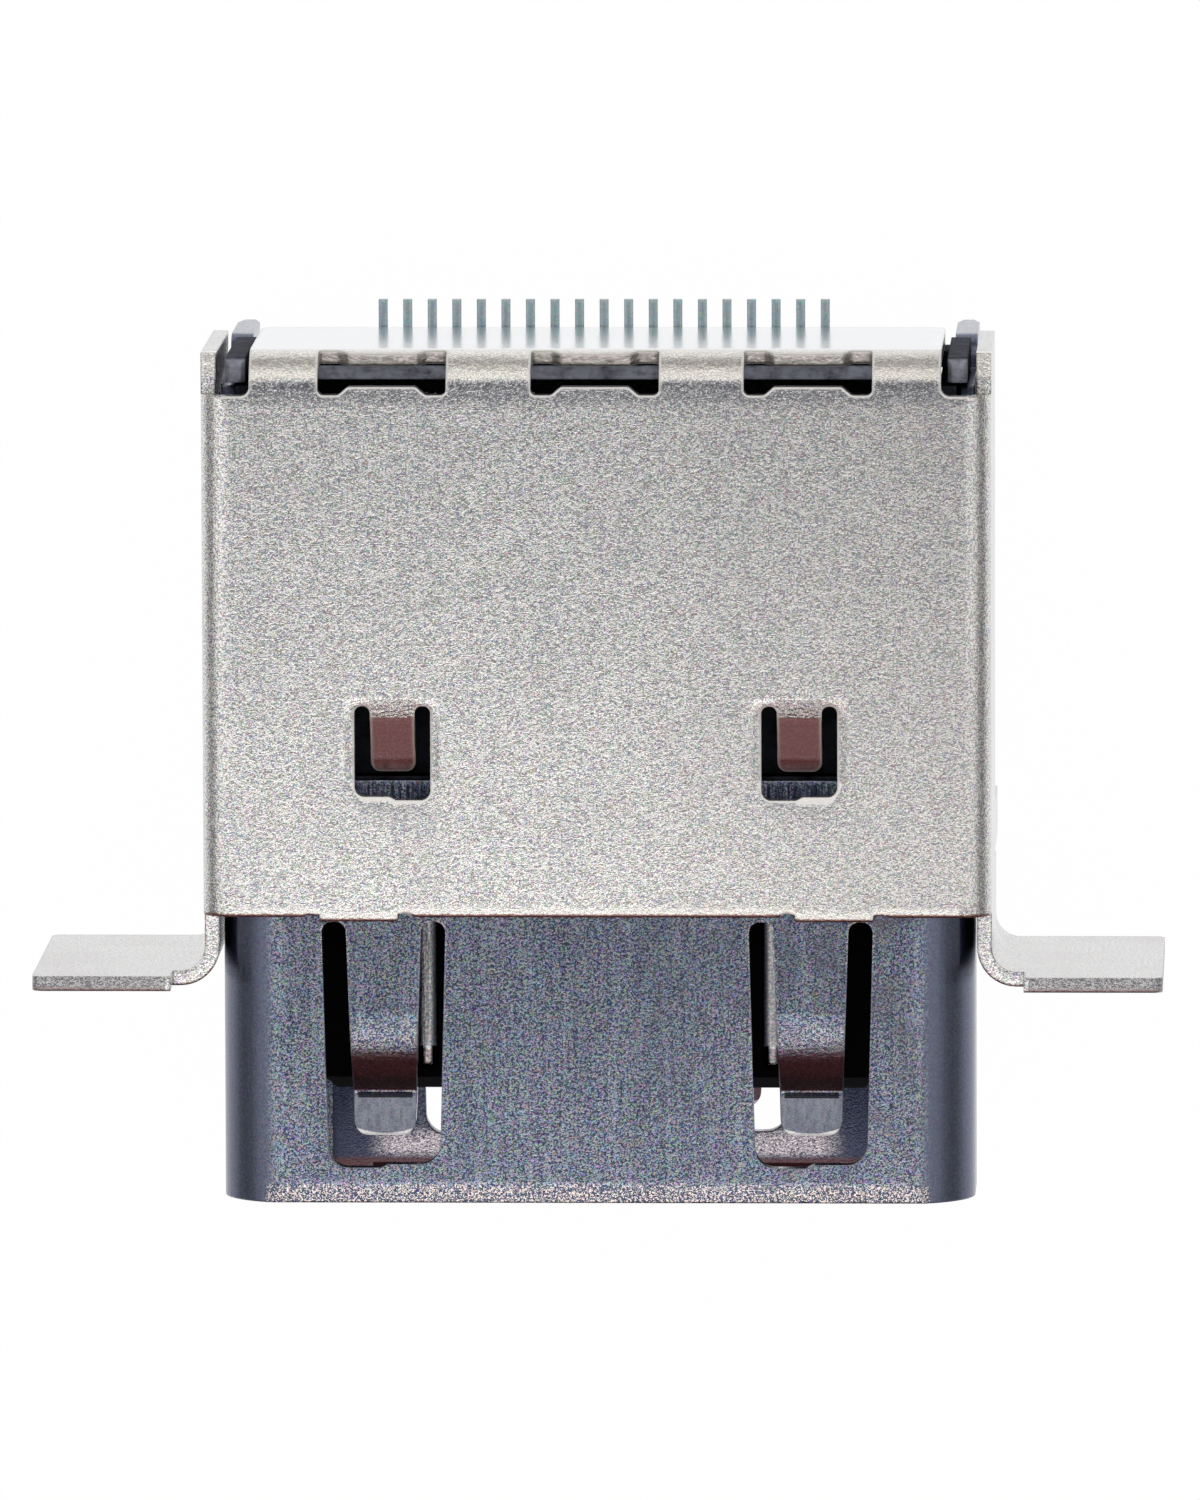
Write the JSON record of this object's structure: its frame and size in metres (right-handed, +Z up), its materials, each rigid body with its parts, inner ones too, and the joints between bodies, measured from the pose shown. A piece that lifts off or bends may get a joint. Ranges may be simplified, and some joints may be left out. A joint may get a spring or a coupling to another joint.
{
  "type": "hdmi socket",
  "caption": "Board-mounted receptacle for a digital video plug, with a D-shaped metal mouth, panel flanges, spring fingers, board legs and a row of fine contact tails.",
  "frame": {"origin": "on the board plane (underside of the inner shell) at mid width, in line with the rear face of the panel flanges", "axes": "+X along the width, +Y from the mouth to the contact tails, +Z up from the board"},
  "size_m": [0.0228, 0.0179, 0.0084],
  "materials": {
    "cover_metal": "satin tin plate over stamped sheet",
    "shell_metal": "satin nickel plate over stamped sheet",
    "moulding": "moulded, fine matte",
    "contact_metal": "thin gold over copper alloy, tin on the tails"
  },
  "bodies": {
    "root": {"inner_shell": "shell_metal", "outer_shell": "cover_metal", "housing": "moulding", "rear_insert": "moulding", "contact_01": "contact_metal", "contact_02": "contact_metal", "contact_03": "contact_metal", "contact_04": "contact_metal", "contact_05": "contact_metal", "contact_06": "contact_metal", "contact_07": "contact_metal", "contact_08": "contact_metal", "contact_09": "contact_metal", "contact_10": "contact_metal", "contact_11": "contact_metal", "contact_12": "contact_metal", "contact_13": "contact_metal", "contact_14": "contact_metal", "contact_15": "contact_metal", "contact_16": "contact_metal", "contact_17": "contact_metal", "contact_18": "contact_metal", "contact_19": "contact_metal"}
  },
  "joints": []
}
